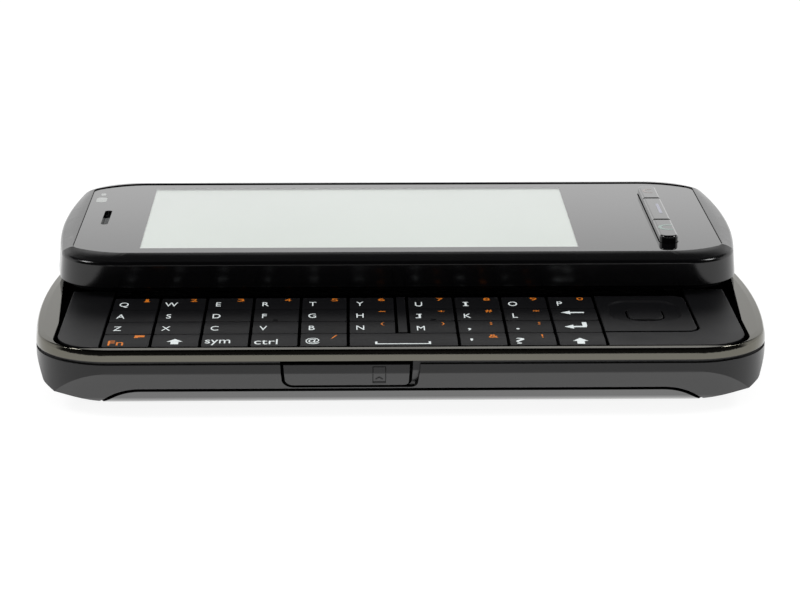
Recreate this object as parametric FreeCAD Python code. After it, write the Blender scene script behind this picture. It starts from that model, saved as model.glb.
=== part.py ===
import FreeCAD, Part
import math
import os

# Side-slider phone with a touch screen above a full letter keyboard, in millimetres.
# Frame: the origin is the middle of the base's flat underside. +X runs along the length,
# +Y is the way the slide opens, +Z is up. At rest the slide stands fully open.

V = FreeCAD.Vector

# ---- Driving dimensions -------------------------------------------------------------------
half_width = 26.5             # both halves are 53 wide
corner_radius = 12.0
base_half_length = 56.7
base_end_radius = 130.0       # the short ends bulge gently
slide_half_length = 56.2
slide_end_radius = 122.0
slide_corner = 8.5
slide_travel = 29.0
wall = 1.45

# Heights through the base, from the table up
floor_z = 6.0                 # underside of the inner floor, over the battery
floor_top_z = 6.5
board_z = 7.35
board_top_z = 8.15
deck_z = 8.3
groove_z = 8.35               # shadow line under the trim
rim_z = 8.9
web_top_z = 9.2               # dome sheet under the keys
key_under_z = 9.55
plate_top_z = 10.45
rim_top_z = 10.68
crease_z = 7.0                # where the upright side turns into the bevel
flat_half_width = 19.7       # bevel lines meet the underside here
flat_edge_radius = 5.0
crease_radius = 0.6
skin = 1.2                    # thickness of the bevelled sides and of the cover
groove_depth = 0.5

# The two ends: walls that lean in, then an underside that sweeps up to meet them
sweep_start_x = 45.7
sweep_radius = 24.0
heel_inset = 2.4
heel_z = 4.05
heel_radius = 0.8
end_top_inset = 0.6
end_top_z = 8.4

# Battery cover
cover_half_length = 47.3
cover_half_width = 22.52
cover_corner = 7.8
cover_lip_z = 3.9             # the housing overlaps the cover's edge above this
seam = 0.62

# Recess that the keyboard sits in, inside the metal trim; past the bend it widens toward the slide
recess_front = 25.2
recess_front_side = 52.65
recess_front_corner = 5.4
recess_bend = (-12.0, 8.0)    # where the side turns outward, and the radius of the turn
recess_rear_side = 55.4
recess_rear = 25.0
plate_side = 52.15
plate_corner = 6.2
plate_back_y = 6.0
rim_shoulder = (0.4, 1.5)    # how far the trim's rounded outer edge reaches in, and down
rim_dome = 0.05
rim_depth = 8.0

# Keyboard
pitch_x = 7.43
pitch_y = 6.48
left_block_x = -45.32
right_block_x = 1.11
keys_front_y = -23.75
column_gap = 0.5
row_gap = 0.22
left_columns = 6
key_crown = 0.14
key_top_z = 10.5
key_rows = [
    "q w e r t y u i o p",
    "a s d f g h j k l backspace",
    "z x c v b n m comma period enter",
    "fn shift_left sym ctrl at space - apostrophe question shift_right",
]

# Navigation pad
pad_right_x = 45.5
pad_corner = 1.8
pad_under_z = 9.4
dish_size = (11.3, 11.4)
dish_shift = 1.4               # toward the back, from the middle of the pad
dish_corner = 3.6
dish_slope = 0.8               # how much narrower the dish's floor is than its mouth
dish_depth = 0.25
select_size = (5.4, 6.2)
select_corner = 1.9
select_gap = 0.27

# Heights through the slide
slide_z = 11.05               # underside of the sliding carriage
carriage_top_z = 12.15
slide_wall_z = 11.85
slide_foot_chamfer = 0.22
shoulder_z = 16.15            # edge between the slide's wall and its crown
shoulder_inset = 0.02
shoulder_end_inset = 0.35
crown_z = 16.98               # the crown stands a little proud of the glass
crown_bend = 0.7
crown_steps = 4
shoulder_radius = 0.7         # rounding of the edge between wall and crown
glass_under_z = 15.95
glass_z = 16.8
slide_wall = 1.5
slide_deck_z = 15.0
glass_half_length = 52.5
glass_half_width = 23.2
glass_corner = 13.0
glass_corner_centre = 43.2
glass_gap = 0.08
glass_end_rounding = 2.4

# Display, 3.2 inch, 16:9
screen_size = (70.84, 39.85)
screen_x = -6.3

# Slide rails
rail_x = 42.0
shoe_y = (5.0, 24.0)
shoe_stem = 1.5
shoe_head = 3.6
lip_z = 11.45                 # top of the carriage lips that the shoes hold down
rail_clearance = 0.15
stop_clearance = 0.3
rail_plate_z = 10.0
rail_plate_top_z = 10.4
rail_plate_half_length = 45.2

# Raised call, menu and end keys
bar_x = 44.05
bar_width = 3.0
bar_y = (-18.1, 16.1)
menu_half_length = 7.3
bar_top_z = 18.05
bar_corner = 1.2
bar_edge = 0.35
bar_gap = 0.12
bar_split = 0.15

# Memory card door on the front side, and the keys on the other sides
door_window = [(-17.85, 8.3), (-17.6, 4.27), (0.85, 4.27), (1.0, 8.3)]
door_gap = 0.5
notch_width = 1.6
notch_depth = 0.6
rocker_x = (-26.0, -6.0)
camera_key_x = (28.0, 37.0)
side_key_z = (4.9, 7.6)
side_key_proud = 0.35
side_key_depth = 1.3
side_key_gap = 0.2
power_key_half_width = 4.5
power_key_depth = 0.9

# Sockets: (y, z) of each axis, and wall radii
jack_axis = (12.0, 6.15)
jack_bore = 1.8               # 3.5 mm headset plug
jack_outer = 2.1
jack_x = (-52.8, -41.4)
charger_axis = (-10.0, 5.8)
charger_bore = 1.05           # 2.0 mm charger plug
charger_outer = 1.5
charger_x = (46.1, 53.6)
usb_y = -12.0
usb_size = (7.6, 2.6)
microphone_axis = (4.0, 5.2)
microphone_radius = 0.6

floor_x = (-14.7, 42.5)       # the inner floor lies over the battery only
battery_x = (-13.5, 41.5)
battery_half_width = 17.0
battery_z = (1.25, 5.85)
camera_xy = (-34.0, 0.0)
camera_lens_radius = 4.2
flash_xy = (-34.0, 8.2)
flash_radius = 1.6
speaker_xy = (-26.0, -14.0)

NORMAL = {"XY": V(0, 0, 1), "YZ": V(1, 0, 0), "XZ": V(0, 1, 0)}


# ---- Plane helpers --------------------------------------------------------------------------
def place(plane, a, b, level):
    """Turn two coordinates in a named plane, and its level, into a point."""
    if plane == "XY":
        return V(a, b, level)
    if plane == "YZ":
        return V(level, a, b)
    return V(a, level, b)


def rounded_face(corners, plane, level):
    """A polygon face; each corner is (a, b) or (a, b, radius)."""
    points = [V(corner[0], corner[1], 0) for corner in corners]
    radii = [corner[2] if len(corner) > 2 else 0.0 for corner in corners]
    count = len(points)
    stops = []
    for i in range(count):
        back = (points[i - 1] - points[i]).normalize()
        ahead = (points[(i + 1) % count] - points[i]).normalize()
        if radii[i] <= 0:
            stops.append((points[i], None, points[i]))
            continue
        half = back.getAngle(ahead) / 2
        reach = radii[i] / math.tan(half)
        middle = (back + ahead).normalize() * (radii[i] / math.sin(half) - radii[i])
        stops.append((points[i] + back * reach, points[i] + middle, points[i] + ahead * reach))

    def real(p):
        return place(plane, p.x, p.y, level)

    edges = []
    for i in range(count):
        start, middle, end = stops[i]
        if middle is not None:
            edges.append(Part.Arc(real(start), real(middle), real(end)).toShape())
        following = stops[(i + 1) % count][0]
        if (following - end).Length > 1e-6:
            edges.append(Part.LineSegment(real(end), real(following)).toShape())
    return Part.Face(Part.Wire(edges))


def grown(corners, grow):
    """The same counterclockwise polygon with every side moved outward, or inward below zero."""
    result = []
    for i, corner in enumerate(corners):
        here = V(corner[0], corner[1], 0)
        before, after = corners[i - 1], corners[(i + 1) % len(corners)]
        come = (here - V(before[0], before[1], 0)).normalize()
        leave = (V(after[0], after[1], 0) - here).normalize()
        first, second = V(come.y, -come.x, 0), V(leave.y, -leave.x, 0)
        here = here + (first + second) * (grow / (1 + first.dot(second)))
        radius = max(corner[2] + grow, 0.2) if len(corner) > 2 else 0
        result.append((here.x, here.y, radius))
    return result


def slab(corners, plane, start, end):
    """A rounded polygon pushed along the normal of its plane from one level to another."""
    return rounded_face(corners, plane, start).extrude(NORMAL[plane] * (end - start))


def rectangle(centre, size, radius=0.0):
    x, y = centre
    a, b = size[0] / 2, size[1] / 2
    return [(x - a, y - b, radius), (x + a, y - b, radius), (x + a, y + b, radius), (x - a, y + b, radius)]


def block(x, y, z):
    return Part.makeBox(x[1] - x[0], y[1] - y[0], z[1] - z[0], V(x[0], y[0], z[0]))


def post(centre, radius, z):
    return Part.makeCylinder(radius, z[1] - z[0], V(centre[0], centre[1], z[0]))


def tube_x(axis, radius, x):
    return Part.makeCylinder(radius, x[1] - x[0], V(x[0], axis[0], axis[1]), V(1, 0, 0))


# ---- Outlines seen from above ------------------------------------------------------------------
def bulged_loop(half_length, width, end_radius, corner):
    """Plan outline as (start, middle) pairs: straight sides, round corners, bulging ends."""
    end_centre = half_length - end_radius
    corner_y = width - corner
    corner_x = end_centre + math.sqrt((end_radius - corner) ** 2 - corner_y ** 2)
    turn = math.atan2(corner_y, corner_x - end_centre)
    meet = (end_centre + end_radius * math.cos(turn), end_radius * math.sin(turn))
    middle_angle = (turn + math.pi / 2) / 2
    middle = (corner_x + corner * math.cos(middle_angle), corner_y + corner * math.sin(middle_angle))
    return mirrored_loop((corner_x, width), middle, meet, (half_length, 0))


def glass_loop(grow=0.0):
    """Outline of the glass: its corner arcs run straight into the end seams."""
    centre_y = glass_half_width - glass_corner
    radius = glass_corner + grow
    end_x = glass_half_length + grow
    turn = math.acos((end_x - glass_corner_centre) / radius)
    meet = (end_x, centre_y + radius * math.sin(turn))
    middle_angle = (turn + math.pi / 2) / 2
    middle = (glass_corner_centre + radius * math.cos(middle_angle), centre_y + radius * math.sin(middle_angle))
    return mirrored_loop((glass_corner_centre, glass_half_width + grow), middle, meet, (end_x, 0))


def mirrored_loop(side, middle, meet, end):
    """Repeat one quarter of an outline on all four sides."""
    def at(point, sx, sy):
        return (point[0] * sx, point[1] * sy)

    return [
        (at(side, -1, -1), (0, -side[1])), (at(side, 1, -1), at(middle, 1, -1)),
        (at(meet, 1, -1), at(end, 1, 1)), (at(meet, 1, 1), at(middle, 1, 1)),
        (at(side, 1, 1), (0, side[1])), (at(side, -1, 1), at(middle, -1, 1)),
        (at(meet, -1, 1), at(end, -1, 1)), (at(meet, -1, -1), at(middle, -1, -1)),
    ]


def blended_loop(first, second, share):
    """An outline part of the way from one outline to another."""
    def mix(p, q):
        return tuple(a + (b - a) * share for a, b in zip(p, q))

    return [(mix(a[0], b[0]), mix(a[1], b[1])) for a, b in zip(first, second)]


def loop_wire(loop, z):
    edges = []
    for i, (start, middle) in enumerate(loop):
        end = loop[(i + 1) % len(loop)][0]
        points = [V(p[0], p[1], z) for p in (start, middle, end)]
        bend = (points[1] - (points[0] + points[2]) * 0.5).Length
        if bend < 1e-4:
            edges.append(Part.LineSegment(points[0], points[2]).toShape())
        else:
            edges.append(Part.Arc(*points).toShape())
    return Part.Wire(edges)


def loop_slab(loop, z):
    return Part.Face(loop_wire(loop, z[0])).extrude(V(0, 0, z[1] - z[0]))


def base_slab(inset, z):
    loop = bulged_loop(base_half_length - inset, half_width - inset,
                       base_end_radius - inset, corner_radius - inset)
    return loop_slab(loop, z)


def slide_loop(inset=0.0, end_inset=None):
    """Outline of the slide; its ends may lean in further than its sides."""
    end = inset if end_inset is None else end_inset
    return bulged_loop(slide_half_length - end, half_width - inset,
                       slide_end_radius - inset, slide_corner - inset)


def edges_where(shape, test):
    """Edges whose bounding box centre and size pass a test."""
    return [edge for edge in shape.Edges if test(edge.BoundBox)]


def level_edges(shape, z, reach=0.02):
    return edges_where(shape, lambda box: abs(box.ZMin - z) < reach and abs(box.ZMax - z) < reach)


# ---- Body of the base ------------------------------------------------------------------------
def side_profile(grow=0.0):
    """Section across the base: flat underside, bevels, upright sides. grow pushes it outward."""
    high = rim_top_z + 2
    right = [(flat_half_width, 0, flat_edge_radius), (half_width, crease_z, crease_radius), (half_width, high)]
    left = [(-corner[0], *corner[1:]) for corner in reversed(right)]
    return grown(right + left, grow)


def end_profile(grow=0.0):
    """Section along the base: the underside sweeps up to a heel, and the end wall leans out above it."""
    heel_x = base_half_length - heel_inset
    wall_x = base_half_length - end_top_inset
    right = [(sweep_start_x, 0, sweep_radius), (heel_x, heel_z, heel_radius),
             (wall_x, end_top_z), (wall_x, rim_top_z + 2)]
    left = [(-corner[0], *corner[1:]) for corner in reversed(right)]
    return grown(right + left, grow)


def base_body(inset, z):
    """The whole outer form of the base, or the same form inset, between two heights."""
    across = slab(side_profile(-inset), "YZ", -2 * base_half_length, 2 * base_half_length)
    along = slab(end_profile(-inset), "XZ", -2 * half_width, 2 * half_width)
    return base_slab(inset, z).common(across).common(along)


def cover_column(grow, z):
    size = (2 * (cover_half_length + grow), 2 * (cover_half_width + grow))
    return slab(rectangle((0, 0), size, cover_corner + grow), "XY", z[0], z[1])


def recess_corners():
    """Opening inside the trim: straight sides by the keys, widening past the bend to the rear corners."""
    bend_y, bend_radius = recess_bend
    right = [(recess_front_side, -recess_front, recess_front_corner),
             (recess_front_side, bend_y, bend_radius), (recess_rear_side, recess_rear, 9.5)]
    left = [(-a, b, r) for a, b, r in reversed(right)]
    return right + left


# ---- Pieces of the base ------------------------------------------------------------------------
def door_outline(grow=0.0):
    (a, top), (b, bottom), (c, _), (d, _) = door_window
    return [
        (a - grow, top + grow), (b - grow, bottom - grow, 1.3 + grow),
        (c + grow, bottom - grow, 0.7 + grow), (d + grow, top + grow),
    ]


def side_window(x, grow=0.0):
    z = side_key_z
    size = (x[1] - x[0] + 2 * grow, z[1] - z[0] + 2 * grow)
    return rectangle(((x[0] + x[1]) / 2, (z[0] + z[1]) / 2), size, 1.1 + grow)


def make_lower_housing():
    body = base_body(0, (0, groove_z)).fuse(base_slab(groove_depth, (groove_z, rim_z)))
    upper = base_slab(wall, (floor_top_z, rim_z + 1)).common(base_body(0.9, (0, rim_z + 1)))
    lower = base_body(skin, (0, floor_z))
    floor = block(floor_x, (-26, 26), (floor_z - 1, floor_top_z + 1))
    open_bays = base_body(skin, (0, rim_z)).common(base_slab(wall, (0, rim_z))).cut(floor)
    body = body.cut(upper).cut(lower).cut(open_bays).cut(cover_column(seam, (-1, cover_lip_z + 0.1)))
    bay_outer = rectangle(((battery_x[0] + battery_x[1]) / 2, 0),
                          (battery_x[1] - battery_x[0] + 2.2, 2 * battery_half_width + 2.2))
    bay_inner = rectangle(((battery_x[0] + battery_x[1]) / 2, 0),
                          (battery_x[1] - battery_x[0] + 0.4, 2 * battery_half_width + 0.4))
    ribs = slab(bay_outer, "XY", 1.6, floor_z).cut(slab(bay_inner, "XY", 1.0, floor_z + 1))
    body = body.fuse(ribs)
    window = slab(door_outline(door_gap), "XZ", -28, -20)
    card_path = block((-15.7, -1.3), (-25.3, -8.0), (5.8, floor_top_z + 1))
    notch_x, notch_z = door_window[3][0], door_window[2][1] - door_gap
    notch = slab([(notch_x - 1, groove_z), (notch_x - 1, notch_z), (notch_x + notch_width - 0.4, notch_z, 1.1),
                  (notch_x + notch_width, groove_z)], "XZ", -28, -20)
    body = body.cut(window.cut(base_body(skin + 0.9, (0, rim_z))))
    body = body.cut(notch.cut(base_body(notch_depth, (0, rim_z)))).cut(card_path)
    for span in (rocker_x, camera_key_x):
        body = body.cut(slab(side_window(span, side_key_gap), "XZ", 20, 28))
    power = block((-58, -50), (-power_key_half_width - side_key_gap, power_key_half_width + side_key_gap),
                  (side_key_z[0] - side_key_gap, side_key_z[1] + side_key_gap))
    usb = block((-58, -52), (usb_y - usb_size[0] / 2, usb_y + usb_size[0] / 2),
                (board_z - usb_size[1], board_z))
    jack = tube_x(jack_axis, jack_outer + 0.05, (jack_x[0] - 0.05, jack_x[1]))
    jack_mouth = tube_x(jack_axis, jack_bore, (-58, jack_x[0]))
    charger = tube_x(charger_axis, charger_outer + 0.05, (charger_x[0], charger_x[1] + 0.05))
    charger_mouth = tube_x(charger_axis, charger_bore, (charger_x[1], 58))
    microphone = tube_x(microphone_axis, microphone_radius, (53, 58))
    for hole in (power, usb, jack, jack_mouth, charger, charger_mouth, microphone):
        body = body.cut(hole)
    return body


def rim_section(x):
    """Section of the trim at the front: domed top, elliptical outer edge, upright face."""
    reach, drop = rim_shoulder
    edge_z = rim_top_z - rim_dome
    outer, inner = V(x, -half_width, edge_z - drop), V(x, reach - half_width, edge_z)
    ellipse = Part.Ellipse(inner, outer, V(x, inner.y, outer.z))
    first, last = ellipse.parameter(inner), ellipse.parameter(outer)
    if last < first:
        last += 2 * math.pi
    crest = V(x, -recess_front, rim_top_z)
    points = [inner, crest, V(x, rim_depth - half_width, rim_top_z), V(x, rim_depth - half_width, rim_z),
              V(x, -half_width, rim_z), outer]
    edges = [Part.LineSegment(points[i], points[i + 1]).toShape() for i in range(len(points) - 1)]
    edges.append(Part.ArcOfEllipse(ellipse, first, last).toShape())
    return Part.Wire(Part.sortEdges(edges)[0])


def make_rim_trim():
    loop = bulged_loop(base_half_length, half_width, base_end_radius, corner_radius)
    path = loop_wire(loop, rim_z)
    ring = path.makePipeShell([rim_section(loop[0][0][0])], True, False)
    return ring.cut(slab(recess_corners(), "XY", rim_z - 1, rim_top_z + 1))


def make_keypad_plate():
    """Deck over the circuit board, the dome sheet, the end plates and the strip between halves."""
    deck = base_slab(wall + 0.1, (deck_z, rim_z)).common(base_body(1.0, (deck_z - 1, rim_z)))
    right_keys = column_right(9)
    web = block((left_block_x + 0.4, right_keys - 0.4), (keys_front_y - 0.3, keys_back_y()), (rim_z, web_top_z))
    plate = deck.fuse(web)
    half = column_gap / 2
    back = plate_back_y
    front = keys_front_y - 0.35
    side = plate_side
    left_keys = left_block_x - half
    left = [(-side, back), (-side, front, plate_corner), (left_keys, front), (left_keys, back)]
    pad_front = keys_front_y + pitch_y
    right = [(right_keys + half, front), (side, front, plate_corner), (side, back), (pad_right_x + half, back),
             (pad_right_x + half, pad_front - half, pad_corner + column_gap), (right_keys + half, pad_front - half)]
    middle_x = (column_right(5) + half, column_left(6) - half)
    strip = block(middle_x, (keys_front_y + pitch_y + half, keys_back_y() - 0.1), (rim_z, key_top_z - 0.05))
    plate = plate.fuse(slab(left, "XY", rim_z, plate_top_z)).fuse(slab(right, "XY", rim_z, plate_top_z))
    plate = plate.fuse(strip)
    for spot in rail_screw_spots():
        plate = plate.fuse(post(spot, 2.0, (rim_z, rail_plate_z))).cut(post(spot, 0.75, (deck_z - 1, 11)))
    return plate


def make_battery_cover():
    cover = base_body(0, (0, groove_z)).common(cover_column(0, (0, cover_lip_z)))
    cover = cover.cut(base_body(skin, (0, rim_z)))
    cover = cover.cut(post(camera_xy, camera_lens_radius + 0.5, (-1, 3)))
    cover = cover.cut(post(flash_xy, flash_radius + 0.25, (-1, 3)))
    for i in range(4):
        slot = rectangle((speaker_xy[0] - 4.5 + 3.0 * i, speaker_xy[1]), (1.0, 5.0), 0.49)
        cover = cover.cut(slab(slot, "XY", -1, 3))
    return cover


def make_battery():
    pack = slab(rectangle(((battery_x[0] + battery_x[1]) / 2, 0),
                          (battery_x[1] - battery_x[0], 2 * battery_half_width), 2.0),
                "XY", battery_z[0], battery_z[1])
    for i in range(3):
        y = -5.0 + 5.0 * i
        pack = pack.cut(block((battery_x[0] - 1, battery_x[0] + 0.4), (y - 1, y + 1), (2.2, 5.0)))
    return pack


def make_main_board():
    """Circuit board with its shield cans, loudspeaker, sockets and contacts, each a solid."""
    board = base_slab(wall + 0.8, (board_z, board_top_z))
    board = board.cut(block((-57, jack_x[1] + 0.3), (jack_axis[0] - 3, jack_axis[0] + 3), (7, 9)))
    key_reach = power_key_half_width + 0.4
    board = board.cut(block((-57, -53.6), (-key_reach, key_reach), (7, 9)))
    under = board_z
    parts = [board]
    for x, y in (((-12, 10), (-8, 8)), ((13, 40), (-8, 8)), ((4, 40), (10, 21)), ((4, 40), (-21, -10))):
        parts.append(block(x, y, (under - 0.75, under)))
    speaker = slab(rectangle(speaker_xy, (14, 8), 2.0), "XY", 3.6, under)
    parts.append(speaker)
    card = block((-15.5, -1.5), (-23.2, -8.2), (under - 1.35, under))
    card = card.cut(block((-14.2, -2.8), (-24, -8.8), (under - 1.1, under - 0.25)))
    parts.append(card)
    jack = tube_x(jack_axis, jack_outer, jack_x).cut(tube_x(jack_axis, jack_bore, jack_x))
    parts.append(jack)
    charger = tube_x(charger_axis, charger_outer, charger_x).cut(tube_x(charger_axis, charger_bore, charger_x))
    parts.append(charger)
    usb = block((-54.6, -49.5), (usb_y - 3.7, usb_y + 3.7), (under - 2.5, under))
    usb = usb.cut(block((-55, -50), (usb_y - 3.3, usb_y + 3.3), (under - 2.15, under - 0.35)))
    parts.append(usb)
    parts.append(block((battery_x[0] - 3.6, battery_x[0] - 1.3), (-7, 7), (2.4, under)))
    vibrator = post((-44.0, -3.0), 3.2, (4.4, under))
    parts.append(vibrator)
    return Part.makeCompound(parts)


def make_camera_module():
    body = slab(rectangle(camera_xy, (10.5, 10.5), 1.0), "XY", 3.4, board_z)
    barrel = post(camera_xy, camera_lens_radius, (0.5, 3.4))
    barrel = barrel.cut(post(camera_xy, 2.6, (0.4, 1.3)))
    flash = post(flash_xy, flash_radius, (0.5, board_z))
    return Part.makeCompound([body.fuse(barrel), flash])


def make_memory_card_door():
    panel = slab(door_outline(), "XZ", -28, -20)
    return base_body(0, (0, groove_z)).common(panel).cut(base_body(0.9, (0, rim_z)))


def side_key(x, proud, depth):
    outer = slab(side_profile(proud), "YZ", x[0], x[1])
    inner = slab(side_profile(-depth), "YZ", x[0] - 1, x[1] + 1)
    return slab(side_window(x), "XZ", 20, 28).common(outer).cut(inner)


def make_power_key():
    cap = base_body(-side_key_proud, side_key_z).cut(base_body(power_key_depth, (0, rim_z)))
    return cap.common(block((-58, -50), (-power_key_half_width, power_key_half_width), side_key_z))


# ---- Keyboard --------------------------------------------------------------------------------
def column_left(column):
    if column < left_columns:
        return left_block_x + pitch_x * column
    return right_block_x + pitch_x * (column - left_columns)


def column_right(column):
    return column_left(column) + pitch_x


def keys_back_y():
    return keys_front_y + pitch_y * len(key_rows)


def make_key(first, last, row):
    """One key with a gently crowned top, between two columns of a row counted from the back."""
    x = (column_left(first) + column_gap / 2, column_right(last) - column_gap / 2)
    back = keys_back_y() - pitch_y * row - row_gap / 2
    front = back - pitch_y + row_gap
    body = slab([(x[0], front, 0.3), (x[1], front, 0.3), (x[1], back, 0.3), (x[0], back, 0.3)],
                "XY", key_under_z, key_top_z + 1)
    half = (back - front) / 2
    radius = (half ** 2 + key_crown ** 2) / (2 * key_crown)
    drum = Part.makeCylinder(radius, x[1] - x[0], V(x[0], (front + back) / 2, key_top_z - radius), V(1, 0, 0))
    return body.common(drum)


def make_keys():
    keys = {}
    for row, names in enumerate(key_rows):
        names = names.split()
        for column, name in enumerate(names):
            if name == "-":
                continue
            last = column + 1 if column + 1 < len(names) and names[column + 1] == "-" else column
            keys["key_" + name] = make_key(column, last, row)
    return keys


def pad_centre():
    front = keys_front_y + pitch_y
    return ((column_right(9) + pad_right_x) / 2, (front + keys_back_y()) / 2)


def make_dpad_ring():
    """Rocker pad: square against the keys, rounded on the outer side, with a dish round select."""
    centre = pad_centre()
    half_x = (pad_right_x - column_right(9) - column_gap) / 2
    half_y = (3 * pitch_y - column_gap) / 2
    low_x, high_x, low_y, high_y = centre[0] - half_x, centre[0] + half_x, centre[1] - half_y, centre[1] + half_y
    panel = slab([(low_x, low_y, 0.4), (high_x, low_y, pad_corner), (high_x, high_y, pad_corner),
                  (low_x, high_y, 0.4)], "XY", pad_under_z, key_top_z)
    wires = []
    for side in (-1, 1):
        grow = side * dish_slope
        size = (dish_size[0] + grow, dish_size[1] + grow)
        outline = rectangle((centre[0], centre[1] + dish_shift), size, dish_corner + grow / 2)
        wires.append(rounded_face(outline, "XY", key_top_z + side * dish_depth).OuterWire)
    dish = Part.makeLoft(wires, True, True)
    hole = rectangle(centre, (select_size[0] + 2 * select_gap, select_size[1] + 2 * select_gap),
                     select_corner + select_gap)
    return panel.cut(dish).cut(slab(hole, "XY", 8, 12))


def make_select_key():
    key = slab(rectangle(pad_centre(), select_size, select_corner), "XY", pad_under_z, key_top_z - 0.05)
    return key.makeFillet(0.2, level_edges(key, key_top_z - 0.05))


# ---- Slide mechanism ---------------------------------------------------------------------------
def rail_screw_spots():
    return [(x, y) for x in (-30.0, 30.0) for y in (8.5, 20.5)]


def make_slide_rail_plate():
    """Fixed plate, its two T-shaped guide shoes, its screws and the two assist springs."""
    reach, rear = rail_plate_half_length, recess_rear - 0.4
    plate = slab([(-reach, 3.6, 1), (reach, 3.6, 1), (reach, rear, 1), (-reach, rear, 1)],
                 "XY", rail_plate_z, rail_plate_top_z)
    parts = []
    for side in (-1, 1):
        x = side * rail_x
        parts.append(block((x - shoe_stem / 2, x + shoe_stem / 2), shoe_y, (rail_plate_top_z, lip_z + 0.07)))
        parts.append(block((x - shoe_head / 2, x + shoe_head / 2), shoe_y, (lip_z + 0.07, lip_z + 0.5)))
        parts.append(Part.makeTorus(4.5, 0.35, V(side * 12.0, 14.0, 9.45)))
    for spot in rail_screw_spots():
        plate = plate.cut(post(spot, 0.8, (9, 11)))
        parts.append(post(spot, 1.4, (rail_plate_top_z, rail_plate_top_z + 0.25)).fuse(
            post(spot, 0.7, (deck_z, rail_plate_top_z))))
    return Part.makeCompound([plate] + parts)


def carriage_screw_spots():
    return [(38.4, -19.0), (38.4, 19.0), (-49.5, -13.5), (-49.5, 13.5)]


def make_slide_carriage():
    """Sliding steel plate with T-slots for the shoes, screwed to the display housing."""
    plate = loop_slab(slide_loop(slide_wall + 0.12), (slide_z, carriage_top_z))
    reach = max(shoe_y) + stop_clearance
    parts = []
    for side in (-1, 1):
        x = side * rail_x
        narrow = shoe_stem / 2 + rail_clearance
        wide = shoe_head / 2 + rail_clearance
        plate = plate.cut(block((x - narrow, x + narrow), (-reach, reach), (slide_z - 1, lip_z + 1)))
        plate = plate.cut(block((x - wide, x + wide), (-reach, reach), (lip_z, carriage_top_z + 1)))
    for spot in carriage_screw_spots():
        plate = plate.cut(post(spot, 1.25, (slide_z - 1, slide_z + 0.45))).cut(post(spot, 0.7, (slide_z, 13)))
        parts.append(post(spot, 1.15, (slide_z + 0.05, slide_z + 0.45)).fuse(
            post(spot, 0.6, (slide_z + 0.45, 13.8))))
    return Part.makeCompound([plate] + parts)


def glass_slab(grow, z):
    """Glass outline as a solid, with the short rounding where its arcs meet the end seams."""
    solid = loop_slab(glass_loop(grow), z)
    end_x = glass_half_length + grow
    upright = edges_where(solid, lambda box: box.ZLength > 0.5 and abs(abs(box.XMin) - end_x) < 0.01
                          and box.XLength < 0.01 and box.YLength < 0.01)
    return solid.makeFillet(glass_end_rounding + grow, upright)


def slide_shell():
    """Outer form of the slide: walls up to a rounded shoulder, and a crown up to the glass."""
    foot = slide_loop()
    shoulder = slide_loop(shoulder_inset, shoulder_end_inset)
    chamfer = loop_wire(slide_loop(slide_foot_chamfer), slide_wall_z)
    foot_wire = loop_wire(foot, slide_wall_z + slide_foot_chamfer)
    skirt = Part.makeLoft([chamfer, foot_wire], True, True)
    walls = Part.makeLoft([foot_wire, loop_wire(shoulder, shoulder_z)], True, True)
    inner = glass_loop()
    sections = []
    for step in range(crown_steps + 1):
        share = step / crown_steps
        rise = (1 + crown_bend) * share - crown_bend * share ** 2
        height = shoulder_z + (crown_z - shoulder_z) * rise
        sections.append(loop_wire(blended_loop(shoulder, inner, share), height))
    crown = Part.makeLoft(sections, True, False)
    shell = walls.fuse(crown)
    shell = shell.makeFillet(shoulder_radius, level_edges(shell, shoulder_z))
    return skirt.fuse(shell)


def make_slide_housing():
    body = slide_shell()
    body = body.cut(loop_slab(slide_loop(slide_wall), (slide_wall_z - 1, slide_deck_z)))
    for spot in carriage_screw_spots():
        body = body.fuse(post(spot, 1.6, (carriage_top_z, slide_deck_z + 0.2)))
        body = body.cut(post(spot, 0.62, (carriage_top_z - 1, 14.2)))
    body = body.cut(glass_slab(glass_gap, (glass_under_z, glass_z + 1)))
    body = body.cut(slab(rectangle((screen_x, 0), (screen_size[0] + 2.4, screen_size[1] + 2.4), 0.5),
                         "XY", slide_deck_z - 1, glass_z))
    body = body.cut(slab(bar_outline(1.1, 1.0), "XY", slide_deck_z - 1, glass_z))
    return body.cut(ear_slot(slide_deck_z - 1, glass_z))


def bar_outline(grow, radius):
    """Plan of the raised bar, grown by a margin."""
    middle = (bar_y[0] + bar_y[1]) / 2
    return rectangle((bar_x, middle), (bar_width + 2 * grow, bar_y[1] - bar_y[0] + 2 * grow), radius)


def ear_slot(low, high):
    return slab(rectangle((-48.8, 0), (1.2, 9.4), 0.59), "XY", low, high)


def make_touch_window():
    glass = glass_slab(0.0, (glass_under_z, glass_z))
    opening = bar_outline(bar_gap, bar_corner + bar_gap)
    glass = glass.cut(slab(opening, "XY", glass_under_z - 1, glass_z + 1))
    return glass.cut(ear_slot(glass_under_z - 1, glass_z + 1))


def make_display_module():
    """Display with its backlight, and the earpiece and key domes on the same flexible circuit."""
    lower = slab(rectangle((screen_x + 1.6, 0), (screen_size[0] + 7.2, screen_size[1] + 4.6), 0.8),
                 "XY", 12.9, slide_deck_z - 0.05)
    upper = slab(rectangle((screen_x, 0), (screen_size[0] + 2.0, screen_size[1] + 2.0), 0.4),
                 "XY", 14.0, glass_under_z - 0.03)
    earpiece = slab(rectangle((-49.5, 0), (3.6, 11.0), 1.2), "XY", 12.9, slide_deck_z - 0.05)
    domes = slab(bar_outline(1.0, 0.8), "XY", 14.0, 14.75)
    return Part.makeCompound([lower.fuse(upper), earpiece, domes])


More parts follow.
